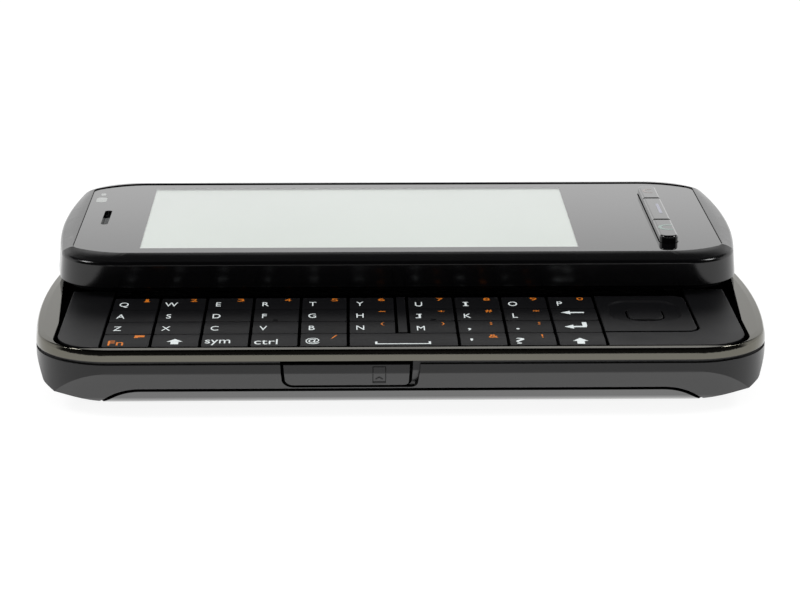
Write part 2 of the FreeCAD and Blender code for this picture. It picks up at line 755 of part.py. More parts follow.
def make_bar_key(start, end, round_start, round_end):
    """One of the three raised keys: a cap through the glass over a wider flange."""
    low, high = bar_x - bar_width / 2, bar_x + bar_width / 2
    first, last = bar_corner * round_start, bar_corner * round_end
    cap = slab([(low, start, first), (high, start, first), (high, end, last), (low, end, last)],
               "XY", 15.3, bar_top_z)
    cap = cap.makeFillet(bar_edge, level_edges(cap, bar_top_z))
    flange = block((low - 0.7, high + 0.7), (start, end), (15.1, glass_under_z - 0.4))
    return cap.fuse(flange)


# ---- Assembly ----------------------------------------------------------------------------------
def base_pieces():
    return {
        "lower_housing": make_lower_housing(),
        "rim_trim": make_rim_trim(),
        "keypad_plate": make_keypad_plate(),
        "battery_cover": make_battery_cover(),
        "battery": make_battery(),
        "main_board": make_main_board(),
        "camera_module": make_camera_module(),
        "memory_card_door": make_memory_card_door(),
        "volume_rocker": side_key(rocker_x, side_key_proud, side_key_depth),
        "camera_key": side_key(camera_key_x, side_key_proud, side_key_depth),
        "power_key": make_power_key(),
        "dpad_ring": make_dpad_ring(),
        "select_key": make_select_key(),
        "slide_rail_plate": make_slide_rail_plate(),
    }


def slide_pieces():
    near, far, split = bar_y[0], bar_y[1], bar_split / 2
    return {
        "slide_carriage": make_slide_carriage(),
        "slide_housing": make_slide_housing(),
        "touch_window": make_touch_window(),
        "display_module": make_display_module(),
        "call_key": make_bar_key(near, -menu_half_length - split, 1, 0),
        "menu_key": make_bar_key(-menu_half_length + split, menu_half_length - split, 0, 0),
        "end_key": make_bar_key(menu_half_length + split, far, 0, 1),
    }


def main():
    os.makedirs("parts", exist_ok=True)
    pieces = {**base_pieces(), **make_keys()}
    for name, shape in slide_pieces().items():
        shape.translate(V(0, slide_travel, 0))
        pieces[name] = shape
    for name, shape in pieces.items():
        valid = shape.isValid()
        print(f"{name}: {len(shape.Solids)} solid(s), {shape.Volume:.1f} mm3, valid {valid}")
        shape.exportStep(f"parts/{name}.step")
    print(len(pieces), "nodes")


main()
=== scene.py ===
# %% [markdown]
# # Dressing a side-slider phone
# The phone's construction is already made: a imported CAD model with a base, a sliding screen half,
# doors, covers and 39 letter keys, each a node of its own. This lesson gives those nodes the finishes
# of the real materials, and models the small things that CAD left out: the printing on the keys, the
# grilles, the lenses, the contacts inside the sockets.
# Everything is in metres, in the model's own frame: +X along the phone, +Y the way the slide opens,
# +Z up, with the phone lying on z = 0.

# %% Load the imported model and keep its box
import bpy
import math
from mathutils import Matrix, Vector


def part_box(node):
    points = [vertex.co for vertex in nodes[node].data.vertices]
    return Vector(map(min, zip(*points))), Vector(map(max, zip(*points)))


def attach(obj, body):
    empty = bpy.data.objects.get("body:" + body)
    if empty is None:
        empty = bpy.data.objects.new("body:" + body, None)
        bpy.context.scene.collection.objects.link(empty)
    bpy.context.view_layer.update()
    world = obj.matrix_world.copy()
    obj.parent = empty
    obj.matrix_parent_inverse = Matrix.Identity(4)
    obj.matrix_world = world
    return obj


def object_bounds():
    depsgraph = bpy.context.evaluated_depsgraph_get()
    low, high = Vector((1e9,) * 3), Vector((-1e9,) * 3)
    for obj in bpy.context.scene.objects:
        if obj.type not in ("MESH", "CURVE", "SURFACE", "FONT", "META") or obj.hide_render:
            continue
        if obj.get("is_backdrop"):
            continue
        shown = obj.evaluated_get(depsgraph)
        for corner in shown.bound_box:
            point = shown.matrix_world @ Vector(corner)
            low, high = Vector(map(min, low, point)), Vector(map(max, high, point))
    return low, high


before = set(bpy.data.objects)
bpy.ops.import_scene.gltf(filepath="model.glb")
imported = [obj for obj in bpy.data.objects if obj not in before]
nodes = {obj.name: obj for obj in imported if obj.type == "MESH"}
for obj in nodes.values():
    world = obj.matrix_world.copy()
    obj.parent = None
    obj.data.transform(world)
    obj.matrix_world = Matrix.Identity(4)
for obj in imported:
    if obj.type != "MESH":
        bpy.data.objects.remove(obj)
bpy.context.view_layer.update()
MM = 0.001
slide_open = 29.0             # mm that the screen half stands out over the base

# %% [markdown]
# ## The camera
# A product picture of a small thing is taken with a long lens from well back, so that the near and
# far edges stay almost parallel. The camera could be aimed with a Track To constraint, but three
# angles say the same thing in three numbers: how far it looks down, to the side, and how it leans.

# %% Camera
camera_place = Vector((-8.15, -390.29, 124.83)) * MM
look_down = 0.284705          # radians below the horizon
look_aside = 0.02106          # radians towards +X
lean = 0.001782               # radians, a hand-held tilt
lens_mm, sensor_mm = 115.33, 36
nearest, farthest = 0.01, 20  # metres; nothing outside is drawn

forward = Vector((math.sin(look_aside) * math.cos(look_down),
                  math.cos(look_aside) * math.cos(look_down), -math.sin(look_down)))
level_right = Vector((math.cos(look_aside), -math.sin(look_aside), 0))
level_up = level_right.cross(forward)
right = level_right * math.cos(lean) + level_up * math.sin(lean)
up = level_up * math.cos(lean) - level_right * math.sin(lean)

bpy.ops.object.select_all(action="DESELECT")
bpy.ops.object.camera_add(location=camera_place)
camera = bpy.context.object
camera.name = "camera"
camera.rotation_euler = Matrix((right, up, -forward)).transposed().to_euler()
camera.data.lens = lens_mm
camera.data.sensor_width = sensor_mm
camera.data.clip_start, camera.data.clip_end = nearest, farthest
bpy.context.scene.camera = camera

# %% [markdown]
# ## Helpers for materials
# Colours are written as sRGB hex values, as a colour picker shows them, and one function turns them
# into the linear values that the shader works with. One more function adds a node, sets its values
# and joins its inputs. Pattern sizes are given in millimetres: Object coordinates are metres, so a
# pattern of d millimetres has a scale of 1000 / d.

# %% Colour and node helpers
mix_a, mix_b, mixed = 6, 7, 2          # a Mix node's colour sockets, by number, as several share a name


def linear(code):
    channels = [int(code[i:i + 2], 16) / 255 for i in (1, 3, 5)]
    return [c / 12.92 if c <= 0.04045 else ((c + 0.055) / 1.055) ** 2.4 for c in channels] + [1.0]


def per_mm(size):
    return 1000 / size


def add(tree, kind, settings=None, links=None):
    """Add a shader node; settings go to its properties or inputs, and links join its inputs to a
    socket of another node, or to its first output where the node itself is given."""
    node = tree.nodes.new("ShaderNode" + kind)
    for name, value in (settings or {}).items():
        if isinstance(name, str) and hasattr(node, name):
            setattr(node, name, value)
        else:
            node.inputs[name].default_value = value
    for name, source in (links or {}).items():
        socket = source.outputs[0] if isinstance(source, bpy.types.Node) else source
        tree.links.new(socket, node.inputs[name])
    return node


def start_material(name):
    """A new material: its tree, and the Object coordinates that its patterns read."""
    material = bpy.data.materials.new(name)
    material.use_nodes = True
    tree = material.node_tree
    tree.nodes.clear()
    place = add(tree, "TexCoord").outputs["Object"]
    return material, tree, place


def end_material(tree, shader, painted_gap_shade=None):
    """Join the shader to the output; where the mask is 1 the surface is matt black instead, a painted shade.
    """
    if painted_gap_shade is not None:
        # matt black painted on gap walls, as shade
        painted_shade_black = add(tree, "BsdfDiffuse", {"Color": linear("#060606")})
        shader = add(tree, "MixShader", links={0: painted_gap_shade, 1: shader, 2: painted_shade_black})
    add(tree, "OutputMaterial", links={"Surface": shader})


print("the housing's black is", [round(c, 4) for c in linear("#161617")[:3]])

# %% [markdown]
# ## Painted shade inside gaps
# Where two mouldings meet, the walls inside the gap are painted matt black: a painted shade that
# stands in for the shadow down in the gap, so that a gap reads as a dark line. Three small masks find
# such walls: by how upright they are, by facing the middle of the phone, and by lying below a height.

# %% Masks for the walls that get painted shade inside gaps
upright_limit = 0.3           # a wall counts as upright while the z of its normal is below this
# below this depth the keypad plate's gaps get the painted shade
dark_depth = 0.3              # mm under the top of the keypad plate, below which its gaps are dark


def upright(tree):
    """1 on walls that stand upright, whichever way they face."""
    normal = add(tree, "TexCoord").outputs["Normal"]
    axes = add(tree, "SeparateXYZ", links={0: normal})
    slope = add(tree, "Math", {"operation": "ABSOLUTE"}, {0: axes.outputs["Z"]})
    return add(tree, "Math", {"operation": "LESS_THAN", 1: upright_limit}, {0: slope})


def upright_inward(tree):
    """1 on upright walls that face the middle of the phone."""
    here = add(tree, "TexCoord").outputs
    outward = add(tree, "VectorMath", {"operation": "DOT_PRODUCT"}, {0: here["Normal"], 1: here["Object"]})
    inward = add(tree, "Math", {"operation": "LESS_THAN", 1: 0.0}, {0: outward.outputs["Value"]})
    return add(tree, "Math", {"operation": "MULTIPLY"}, {0: inward, 1: upright(tree)})


def below_plate_top(tree):
    """1 in the gaps of the keypad plate, lower than the floor of the pad's dish."""
    dark_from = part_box("keypad_plate")[1].z - dark_depth * MM
    axes = add(tree, "SeparateXYZ", links={0: add(tree, "TexCoord").outputs["Object"]})
    return add(tree, "Math", {"operation": "LESS_THAN", 1: dark_from}, {0: axes.outputs["Z"]})


# %% [markdown]
# ## Moulded plastics
# Most of the phone is injection-moulded ABS and polycarbonate. A mould leaves three things: a grain
# that its steel was etched or polished to, a faint unevenness of gloss where the plastic flowed, and
# edges that are never quite sharp. So each plastic here is one Principled shader whose roughness
# wanders a little, with a fine noise as bump, and a Bevel node that rounds the shading of each edge
# by a few hundredths of a millimetre. The grain of the real mould is about 0.05 mm, too fine to
# show, so it is drawn several times coarser.

# %% Recipe for a moulded plastic
flow_patch = 9                # mm, the width of a patch where the plastic flowed unevenly
grain_height = 0.05           # mm that a bump strength of 1 stands for
bevel_samples = 6             # rays that look for an edge, enough for a smooth rim


def moulded_plastic(name, colour, roughness, grain, depth, edge=0.06, ior=1.5, wander=0.06, coat=0.0,
                    painted_gap_shade=None):
    """grain and edge are in mm, depth is the bump's strength, wander the change of gloss, and the last
    argument a mask of walls painted matt black as shade.
    """
    material, tree, place = start_material(name)
    fine = add(tree, "TexNoise", {"Scale": per_mm(grain), "Detail": 3.0}, {"Vector": place})
    broad = add(tree, "TexNoise", {"Scale": per_mm(flow_patch), "Detail": 2.0}, {"Vector": place})
    gloss = add(tree, "MapRange",
                {"To Min": roughness - wander, "To Max": roughness + wander}, {"Value": broad})
    tint = add(tree, "MapRange", {"To Min": 0.8, "To Max": 1.2}, {"Value": fine})
    shade = add(tree, "VectorMath", {"operation": "SCALE", 0: linear(colour)[:3]}, {"Scale": tint})
    rounded = add(tree, "Bevel", {"samples": bevel_samples, "Radius": edge * MM})
    bump = add(tree, "Bump", {"Strength": depth, "Distance": grain_height * MM},
               {"Height": fine, "Normal": rounded})
    shader = add(tree, "BsdfPrincipled",
                 {"IOR": ior, "Coat Weight": coat, "Coat Roughness": 0.05, "Coat IOR": 1.45},
                 {"Base Color": shade, "Roughness": gloss, "Normal": bump, "Coat Normal": rounded})
    end_material(tree, shader, painted_gap_shade and painted_gap_shade(tree))
    return material


print("flow patches are", flow_patch, "mm wide, edges are shaded with", bevel_samples, "samples")

# %% [markdown]
# ### The black plastics
# The housing is satin black ABS: a sheen that follows the edges but shows no sharp reflections. The
# screen half is moulded in the same plastic against smoother steel, so it mirrors more. The key caps
# and the plates beside them are rough and matt, so that the printing reads. The battery cover is the
# housing's black under a glossy clear lacquer, so it gives back two reflections and looks paler where
# it curves under.

# %% Black plastics
# where a gap mask is given, the walls it finds get a painted shade: matt black
housing_black = moulded_plastic("satin_black_abs_housing", "#161617", 0.24, 0.35, 0.10, ior=1.45,
                                painted_gap_shade=upright_inward)
slide_black = moulded_plastic("satin_black_abs_slide", "#060607", 0.14, 0.35, 0.05, edge=0.12)
key_black = moulded_plastic("matt_black_polycarbonate_keys", "#101012", 0.44, 0.25, 0.10, edge=0.05,
                            ior=1.33)
plate_black = moulded_plastic("matt_black_abs_keypad_plate", "#0f0f11", 0.42, 0.25, 0.10, edge=0.15,
                              ior=1.33, painted_gap_shade=below_plate_top)
cover_black = moulded_plastic("lacquered_black_battery_cover", "#161616", 0.20, 0.5, 0.05, coat=1.0,
                              painted_gap_shade=upright)
side_key_black = moulded_plastic("gloss_black_abs_side_keys", "#0e0e0f", 0.18, 0.4, 0.05)
bar_key_black = moulded_plastic("gloss_black_bar_keys", "#050506", 0.06, 0.4, 0.02, edge=0.08,
                                wander=0.02, coat=0.8)
camera_black = moulded_plastic("matt_black_camera_barrel", "#0b0b0c", 0.45, 0.2, 0.15)
print("plastics", [m.name for m in bpy.data.materials if "black" in m.name])

# %% [markdown]
# ## Metals
# The trim round the keyboard is plastic with a thin dark chromium layer, evaporated onto it in a
# vacuum: a mirror that gives back about a seventh of the light, slightly warm. Faint polishing lines
# run along it; its walls inside the recess are painted matt black as shade. The carriage that carries
# the screen is black anodised sheet, brushed along its length. The rail plate below it is steel sheet
# painted black as shade, for the shaded strip between the two halves. The earpiece mesh is woven
# from painted wire.

# %% Metals
line_height = 0.02            # mm that a bump strength of 1 stands for
line_squeeze = 0.04           # the noise is squeezed along X, so a mark is 25 times as long as wide


def brushed_metal(name, colour, roughness, line, depth, edge=0.05, painted_gap_shade=None):
    """line is the width in mm of the brushing marks, which run along X; the last argument is a mask of walls
    painted matt black as shade.
    """
    material, tree, place = start_material(name)
    stretch = add(tree, "Mapping", {"Scale": (line_squeeze, 1.0, 1.0)}, {"Vector": place})
    lines = add(tree, "TexNoise", {"Scale": per_mm(line), "Detail": 4.0}, {"Vector": stretch})
    gloss = add(tree, "MapRange", {"To Min": roughness * 0.75, "To Max": roughness * 1.25},
                {"Value": lines})
    rounded = add(tree, "Bevel", {"samples": bevel_samples, "Radius": edge * MM})
    bump = add(tree, "Bump", {"Strength": depth, "Distance": line_height * MM},
               {"Height": lines, "Normal": rounded})
    shader = add(tree, "BsdfPrincipled", {"Base Color": linear(colour), "Metallic": 1.0},
                 {"Roughness": gloss, "Normal": bump})
    end_material(tree, shader, painted_gap_shade and painted_gap_shade(tree))
    return material


# the trim's walls that face the middle, inside the recess, get a painted shade: matt black
trim_metal = brushed_metal("dark_chromium_on_plastic", "#69675f", 0.09, 0.3, 0.02, edge=0.12,
                           painted_gap_shade=upright_inward)
carriage_metal = brushed_metal("black_anodised_sheet", "#1c1d1f", 0.38, 0.25, 0.15)
# painted shade: the rail plate is coloured black because the strip under the slide lies in shade
rail_painted_shade_metal = brushed_metal("steel_sheet_painted_black_shade", "#131314", 0.42, 0.25, 0.15)
contact_gold = brushed_metal("gold_plated_contact", "#e3b75a", 0.22, 0.2, 0.05)
pin_metal = brushed_metal("nickel_plated_steel", "#b5b3ad", 0.20, 0.2, 0.05)
mesh_paint = moulded_plastic("grey_painted_wire_mesh", "#b9bbbb", 0.5, 0.2, 0.10)
print("metals", trim_metal.name, carriage_metal.name, rail_painted_shade_metal.name)

# %% [markdown]
# ## The touch window
# The window is a sheet of hard-coated acrylic over the display. Round the picture it is printed
# black on its back, so there the eye gets two reflections, one from the front face and one from the
# ink behind it; over the picture it is clear. The sheet could be cut into two objects, but the real
# one is one sheet, so one shader reads where it is: inside the rectangle of the picture it transmits,
# outside it is the ink's black. The clear coat adds the second reflection.

# %% Touch window
picture_size = (70.84, 39.85)          # 3.2 inch, 16:9
picture_centre = (-6.3, slide_open)


def box_mask(tree, place, centre, size, soft=0.02):
    """1 inside a rectangle in X and Y, given in mm, and 0 outside, with a soft edge."""
    middle = (centre[0] * MM, centre[1] * MM, 0)
    offset = add(tree, "VectorMath", {"operation": "SUBTRACT", 1: middle}, {0: place})
    reach = add(tree, "VectorMath", {"operation": "ABSOLUTE"}, {0: offset})
    axes = add(tree, "SeparateXYZ", links={0: reach})
    sides = []
    for axis, length in zip("XY", size):
        half = length / 2 * MM
        side = add(tree, "MapRange", {"From Min": half + soft * MM, "From Max": half - soft * MM},
                   {"Value": axes.outputs[axis]})
        sides.append(side)
    return add(tree, "Math", {"operation": "MULTIPLY"}, {0: sides[0], 1: sides[1]})


window_glass, tree, place = start_material("hard_coated_window_with_black_print")
clear = box_mask(tree, place, picture_centre, picture_size)
tone = add(tree, "Mix", {"data_type": "RGBA", mix_a: linear("#060607"), mix_b: linear("#ffffff")},
           {0: clear})
smear = add(tree, "TexNoise", {"Scale": per_mm(14), "Detail": 3.0}, {"Vector": place})
gloss = add(tree, "MapRange", {"To Min": 0.012, "To Max": 0.05}, {"Value": smear})
sheet = add(tree, "BsdfPrincipled",
            {"IOR": 1.45, "Coat Weight": 0.75, "Coat IOR": 1.4, "Coat Roughness": 0.02},
            {"Base Color": tone.outputs[mixed], "Transmission Weight": clear, "Roughness": gloss})
end_material(tree, sheet)
print("window clear over", picture_size, "mm")

# %% [markdown]
# ## The display
# Under the window lies the display module: a glass cell in a pressed steel frame. It is lit and shows
# a blank, slightly green-grey page. A real panel is never perfectly even: its backlight comes from
# one long side and the diffuser has faint clouds. So the picture is an emission whose level falls a
# little across the panel and wanders with a broad noise, and outside the picture the frame is steel.

# %% Display
cell_front = 15.5                      # mm; only what lies above this height is lit
lit_near, lit_far = slide_open - 20, slide_open + 20      # mm, the long sides of the picture
page_level = 0.52
display_lit, tree, place = start_material("lit_display_in_steel_frame")
picture = box_mask(tree, place, picture_centre, picture_size)
axes = add(tree, "SeparateXYZ", links={0: place})
front_face = add(tree, "Math", {"operation": "GREATER_THAN", 1: cell_front * MM}, {0: axes.outputs["Z"]})
glow_area = add(tree, "Math", {"operation": "MULTIPLY"}, {0: picture, 1: front_face})
clouds = add(tree, "TexNoise", {"Scale": per_mm(25), "Detail": 1.0}, {"Vector": place})
falloff = add(tree, "MapRange",
              {"From Min": lit_near * MM, "From Max": lit_far * MM, "To Min": 1.18, "To Max": 0.9},
              {"Value": axes.outputs["Y"]})
cloud_level = add(tree, "MapRange", {"To Min": 0.90, "To Max": 1.10}, {"Value": clouds})
level = add(tree, "Math", {"operation": "MULTIPLY"}, {0: falloff, 1: cloud_level})
lit = add(tree, "Math", {"operation": "MULTIPLY"}, {0: level, 1: glow_area})
glow = add(tree, "Math", {"operation": "MULTIPLY", 1: page_level}, {0: lit})
body_tone = add(tree, "Mix", {"data_type": "RGBA", mix_a: linear("#8f9193"), mix_b: linear("#1c1f1d")},
                {0: glow_area})
metal = add(tree, "Math", {"operation": "SUBTRACT", 0: 1.0}, {1: glow_area})
cell = add(tree, "BsdfPrincipled", {"Roughness": 0.35, "Emission Color": linear("#ecfbee")},
           {"Base Color": body_tone.outputs[mixed], "Metallic": metal, "Emission Strength": glow})
end_material(tree, cell)
lit_low = picture_centre[0] - picture_size[0] / 2
print("picture from x", lit_low, "to", lit_low + picture_size[0])

# %% [markdown]
# ## Inside: board and battery
# The circuit board is green solder resist over copper, with tinned steel cans soldered under it. They
# are one node, so the shader tells them apart by height: the board is a thin layer, and all that
# hangs below it is metal. The battery is a pouch in printed film, dark with a pale label.

# %% Board and battery
board_low = 7.34 * MM
board_green, tree, place = start_material("solder_resist_and_tinned_cans")
axes = add(tree, "SeparateXYZ", links={0: place})
is_board = add(tree, "Math", {"operation": "GREATER_THAN", 1: board_low}, {0: axes.outputs["Z"]})
traces = add(tree, "TexBrick",
             {"Scale": per_mm(2.2), "Color1": linear("#0f4a2a"), "Color2": linear("#0c3f24"),
              "Mortar": linear("#1b6a3d"), "Mortar Size": 0.06}, {"Vector": place})
tin = add(tree, "Mix", {"data_type": "RGBA", mix_a: linear("#a9aaab")}, {0: is_board, mix_b: traces})
bare = add(tree, "Math", {"operation": "SUBTRACT", 0: 1.0}, {1: is_board})
spots = add(tree, "TexNoise", {"Scale": per_mm(3), "Detail": 2.0}, {"Vector": place})
gloss = add(tree, "MapRange", {"To Min": 0.25, "To Max": 0.45}, {"Value": spots})
shader = add(tree, "BsdfPrincipled", links={
    "Base Color": tin.outputs[mixed], "Metallic": bare, "Roughness": gloss})
# the board's upright walls are painted matt black: painted shade where the board shows through the gap above
# the door
board_walls_painted_shade = add(tree, "Math", {"operation": "MULTIPLY"}, {0: is_board, 1: upright(tree)})
end_material(tree, shader, board_walls_painted_shade)

battery_low, battery_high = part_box("battery")
label_x = (battery_low.x + battery_high.x) / (2 * MM) + 1.5
label_size = (40, 24)
battery_film, tree, place = start_material("printed_film_on_battery")
label = box_mask(tree, place, (label_x, 0), label_size, 0.1)
crinkle = add(tree, "TexNoise", {"Scale": per_mm(5), "Detail": 4.0}, {"Vector": place})
film = add(tree, "Mix", {"data_type": "RGBA", mix_a: linear("#2b2d30"), mix_b: linear("#c9c8c2")},
           {0: label})
bump = add(tree, "Bump", {"Strength": 0.2, "Distance": 0.1 * MM}, {"Height": crinkle})
gloss = add(tree, "MapRange", {"To Min": 0.3, "To Max": 0.5}, {"Value": crinkle})
shader = add(tree, "BsdfPrincipled", links={
    "Base Color": film.outputs[mixed], "Roughness": gloss, "Normal": bump})
end_material(tree, shader)
print("board above", round(board_low / MM, 2), "mm, label about x", round(label_x, 1))

# %% [markdown]
# ## Finishes on the CAD nodes
# Each node takes its material by assignment. Its mesh and place stay as they are.

# %% Assign the finishes
letter_keys = [name for name in nodes if name.startswith("key_")]
finishes = {
    housing_black: ["lower_housing", "memory_card_door"],
    trim_metal: ["rim_trim"],
    plate_black: ["keypad_plate", "dpad_ring"],
    cover_black: ["battery_cover"],
    battery_film: ["battery"],
    board_green: ["main_board"],
    camera_black: ["camera_module"],
    side_key_black: ["volume_rocker", "camera_key", "power_key"],
    rail_painted_shade_metal: ["slide_rail_plate"],
    carriage_metal: ["slide_carriage"],
    slide_black: ["slide_housing"],
    window_glass: ["touch_window"],
    display_lit: ["display_module"],
    bar_key_black: ["call_key", "menu_key", "end_key"],
    key_black: ["select_key"] + letter_keys,
}
for material, names in finishes.items():
    for name in names:
        mesh = nodes[name].data
        mesh.materials.clear()
        mesh.materials.append(material)
        for face in mesh.polygons:
            face.material_index = 0
dressed = {name for names in finishes.values() for name in names}
print("nodes with a finish", len(dressed), "left over", sorted(set(nodes) - dressed))

# %% [markdown]
# ## Inks
# The legends are pad-printed: a soft silicone pad lifts ink from an etched plate and sets it on the
# cap. The film is about 0.01 mm thick, matt, and never perfectly even, which a fine noise in its
# colour and gloss shows. The bar keys have their symbols under the lacquer, so those inks are duller
# in colour and glossier.

# %% Printing inks
speckle_size = 0.3            # mm, coarser than the real one so that it shows


def pad_ink(name, colour, roughness=0.5):
    """An ink film, a little uneven in colour and gloss."""
    material, tree, place = start_material(name)
    speckle = add(tree, "TexNoise", {"Scale": per_mm(speckle_size), "Detail": 2.0}, {"Vector": place})
    tint = add(tree, "MapRange", {"To Min": 0.85, "To Max": 1.1}, {"Value": speckle})
    shade = add(tree, "VectorMath", {"operation": "SCALE", 0: linear(colour)[:3]}, {"Scale": tint})
    gloss = add(tree, "MapRange", {"To Min": roughness - 0.1, "To Max": roughness + 0.1},
                {"Value": speckle})
    shader = add(tree, "BsdfPrincipled", {"IOR": 1.45}, {"Base Color": shade, "Roughness": gloss})
    end_material(tree, shader)
    return material


white_ink = pad_ink("white_pad_print", "#e4ebeb")
orange_ink = pad_ink("orange_pad_print", "#e07c1c")
green_ink = pad_ink("green_call_print", "#94a8a0", 0.3)
lilac_ink = pad_ink("pale_menu_print", "#a6a7b4", 0.3)
red_ink = pad_ink("faint_red_end_print", "#a39a97", 0.3)
black_ink = pad_ink("black_print_on_door", "#020202", 0.75)
sensor_grey = pad_ink("pale_sensor_window", "#b9bcba", 0.3)
print("inks", [m.name for m in bpy.data.materials if "print" in m.name])

# %% [markdown]
# ## Tools for flat marks
# Letters come from Blender's own font: a Text object is made a mesh, and its points are scaled to a
# width and height in millimetres. Arrows and bars are a plane or a three-cornered circle, moved to
# their place. Each mark is drawn flat, x to the right and y up, then turned to face the side of the
# phone that carries it.

# %% Drawing flat marks
def start(primitive, **settings):
    """Deselect everything, so that what follows acts on the new piece alone, and add the piece."""
    bpy.ops.object.select_all(action="DESELECT")
    primitive(**settings)
    return bpy.context.object


def modify(piece, kind, **settings):
    """Give the active piece a modifier and apply it."""
    modifier = piece.modifiers.new(kind.lower(), kind)
    for name, value in settings.items():
        setattr(modifier, name, value)
    bpy.ops.object.modifier_apply(modifier=modifier.name)


def only(piece):
    bpy.ops.object.select_all(action="DESELECT")
    piece.select_set(True)
    bpy.context.view_layer.objects.active = piece


def join(pieces):
    """One object out of several; its place is put into its mesh."""
    only(pieces[0])
    for piece in pieces:
        piece.select_set(True)
    if len(pieces) > 1:
        bpy.ops.object.join()
    bpy.ops.object.transform_apply()
    return bpy.context.object


def inked(drawn, ink):
    """Give a mark that was just drawn its ink, and put its place into its mesh."""
    bpy.ops.object.transform_apply()
    drawn.data.materials.clear()
    drawn.data.materials.append(ink)
    return drawn


def flat_bar(x, y, width, height, ink, turn=0.0):
    bar = start(bpy.ops.mesh.primitive_plane_add, size=1, location=(x * MM, y * MM, 0), rotation=(0, 0, turn))
    bar.scale = (width * MM, height * MM, 1)
    return inked(bar, ink)


def flat_head(tip_x, y, length, width, ink):
    """A solid arrow head that points to -x, from its tip."""
    head = start(bpy.ops.mesh.primitive_circle_add, vertices=3, radius=1, fill_type="NGON",
                 rotation=(0, 0, math.pi / 2))
    bpy.ops.object.transform_apply()
    unit = length / 1.5       # corners 1 from the centre make a triangle 1.5 long and root 3 wide
    head.scale = (unit * MM, width / math.sqrt(3) * MM, 1)
    head.location = ((tip_x + unit) * MM, y * MM, 0)
    return inked(head, ink)


def flat_text(body, x, y, height, ink, width=None):
    """Letters centred on x, y. Without a width, height is that of a capital and the font is narrowed."""
    capital, narrow = 0.682, 0.64      # height of H in the font, and the width of the real lettering
    start(bpy.ops.object.text_add).data.body = body
    bpy.ops.object.convert(target="MESH")
    text = bpy.context.object
    across = [vertex.co.x for vertex in text.data.vertices]
    upward = [vertex.co.y for vertex in text.data.vertices]
    middle = Vector(((min(across) + max(across)) / 2, capital / 2))
    scale = Vector((height / capital * narrow, height / capital))
    if width is not None:
        middle.y = (min(upward) + max(upward)) / 2
        scale = Vector((width / (max(across) - min(across)), height / (max(upward) - min(upward))))
    text.scale = (scale.x * MM, scale.y * MM, 1)
    text.location = ((x - middle.x * scale.x) * MM, (y - middle.y * scale.y) * MM, 0)
    return inked(text, ink)


def flat_arc(x, y, radius, width, first, last, ink):
    """A band spun round a centre from one angle to another, in degrees from +x."""
    sliver, steps = 0.02, 18           # mm, the length of the bar that is spun, and its copies
    arc = start(bpy.ops.mesh.primitive_plane_add, size=1)
    arc.scale = (width * MM, sliver * MM, 1)
    bpy.ops.object.transform_apply()
    arc.location = (radius * MM, 0, 0)
    bpy.ops.object.transform_apply()
    bpy.ops.object.mode_set(mode="EDIT")
    bpy.ops.mesh.select_all(action="DESELECT")
    bpy.ops.object.mode_set(mode="OBJECT")
    for edge in arc.data.edges:
        ends = [arc.data.vertices[i].co for i in edge.vertices]
        if all(end.y > 0 for end in ends):
            edge.select = True
    bpy.ops.object.mode_set(mode="EDIT")
    bpy.ops.mesh.spin(steps=steps, angle=math.radians(first - last), center=(0, 0, 0), axis=(0, 0, 1))
    bpy.ops.mesh.select_all(action="SELECT")
    bpy.ops.mesh.normals_make_consistent(inside=False)
    bpy.ops.object.mode_set(mode="OBJECT")
    arc.rotation_euler = (0, 0, math.radians(first))
    arc.location = (x * MM, y * MM, 0)
    return inked(arc, ink)


sample = flat_text("H", 0, 0, 2.5, white_ink)
print("a capital H is", [round(v / MM, 2) for v in sample.dimensions[:2]], "mm")
bpy.ops.object.delete()

# %% [markdown]
# ## Laying a mark on a surface
# The caps are slightly crowned and the door is bent, so a flat mark can't just be set down. It is cut
# into strips across the bend with bisect, dropped onto the node with a Shrinkwrap modifier that
# projects along one axis, and given the thickness of ink with Solidify.

# %% Turning, dropping and thickening a mark
TURNS = {
    "top": (0, 0, 0), "front": (math.pi / 2, 0, 0), "back": (math.pi / 2, 0, math.pi),
    "left": (math.pi / 2, 0, -math.pi / 2),
}
OUTWARD = {
    "top": Vector((0, 0, 1)), "front": Vector((0, -1, 0)), "back": Vector((0, 1, 0)),
    "left": Vector((-1, 0, 0)),
}
ink_depth = 0.02              # mm; real ink is half of that, and would sink into the facets here
drop_height = 1.0             # mm outside the node, from where a mark is dropped


def lay_on(flats, node, side, strip=1.0):
    """Join flat marks, turn them to a side and print them onto a node, in strips of a width in mm."""
    mark = join(flats)
    mark.rotation_euler = TURNS[side]
    bpy.ops.object.transform_apply()
    low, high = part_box(node)
    outward = OUTWARD[side]
    axis = max(range(3), key=lambda i: abs(outward[i]))
    level = (high if outward[axis] > 0 else low)[axis] + outward[axis] * drop_height * MM
    mark.location[axis] = level - mark.data.vertices[0].co[axis]
    bpy.ops.object.transform_apply()
    bend = 1 if axis == 2 else 2
    spots = [vertex.co[bend] for vertex in mark.data.vertices]
    normal = [0, 0, 0]
    normal[bend] = 1
    bpy.ops.object.mode_set(mode="EDIT")
    count = int((max(spots) - min(spots)) / (strip * MM))
    for i in range(1, count + 1):
        point = [0, 0, 0]
        point[bend] = min(spots) + i * strip * MM
        bpy.ops.mesh.select_all(action="SELECT")
        bpy.ops.mesh.bisect(plane_co=point, plane_no=normal)
    bpy.ops.object.mode_set(mode="OBJECT")
    modify(mark, "SHRINKWRAP", wrap_method="PROJECT", target=nodes[node], use_negative_direction=True,
           use_project_x=axis == 0, use_project_y=axis == 1, use_project_z=axis == 2)
    modify(mark, "SOLIDIFY", thickness=ink_depth * MM, offset=1.0)
    return mark


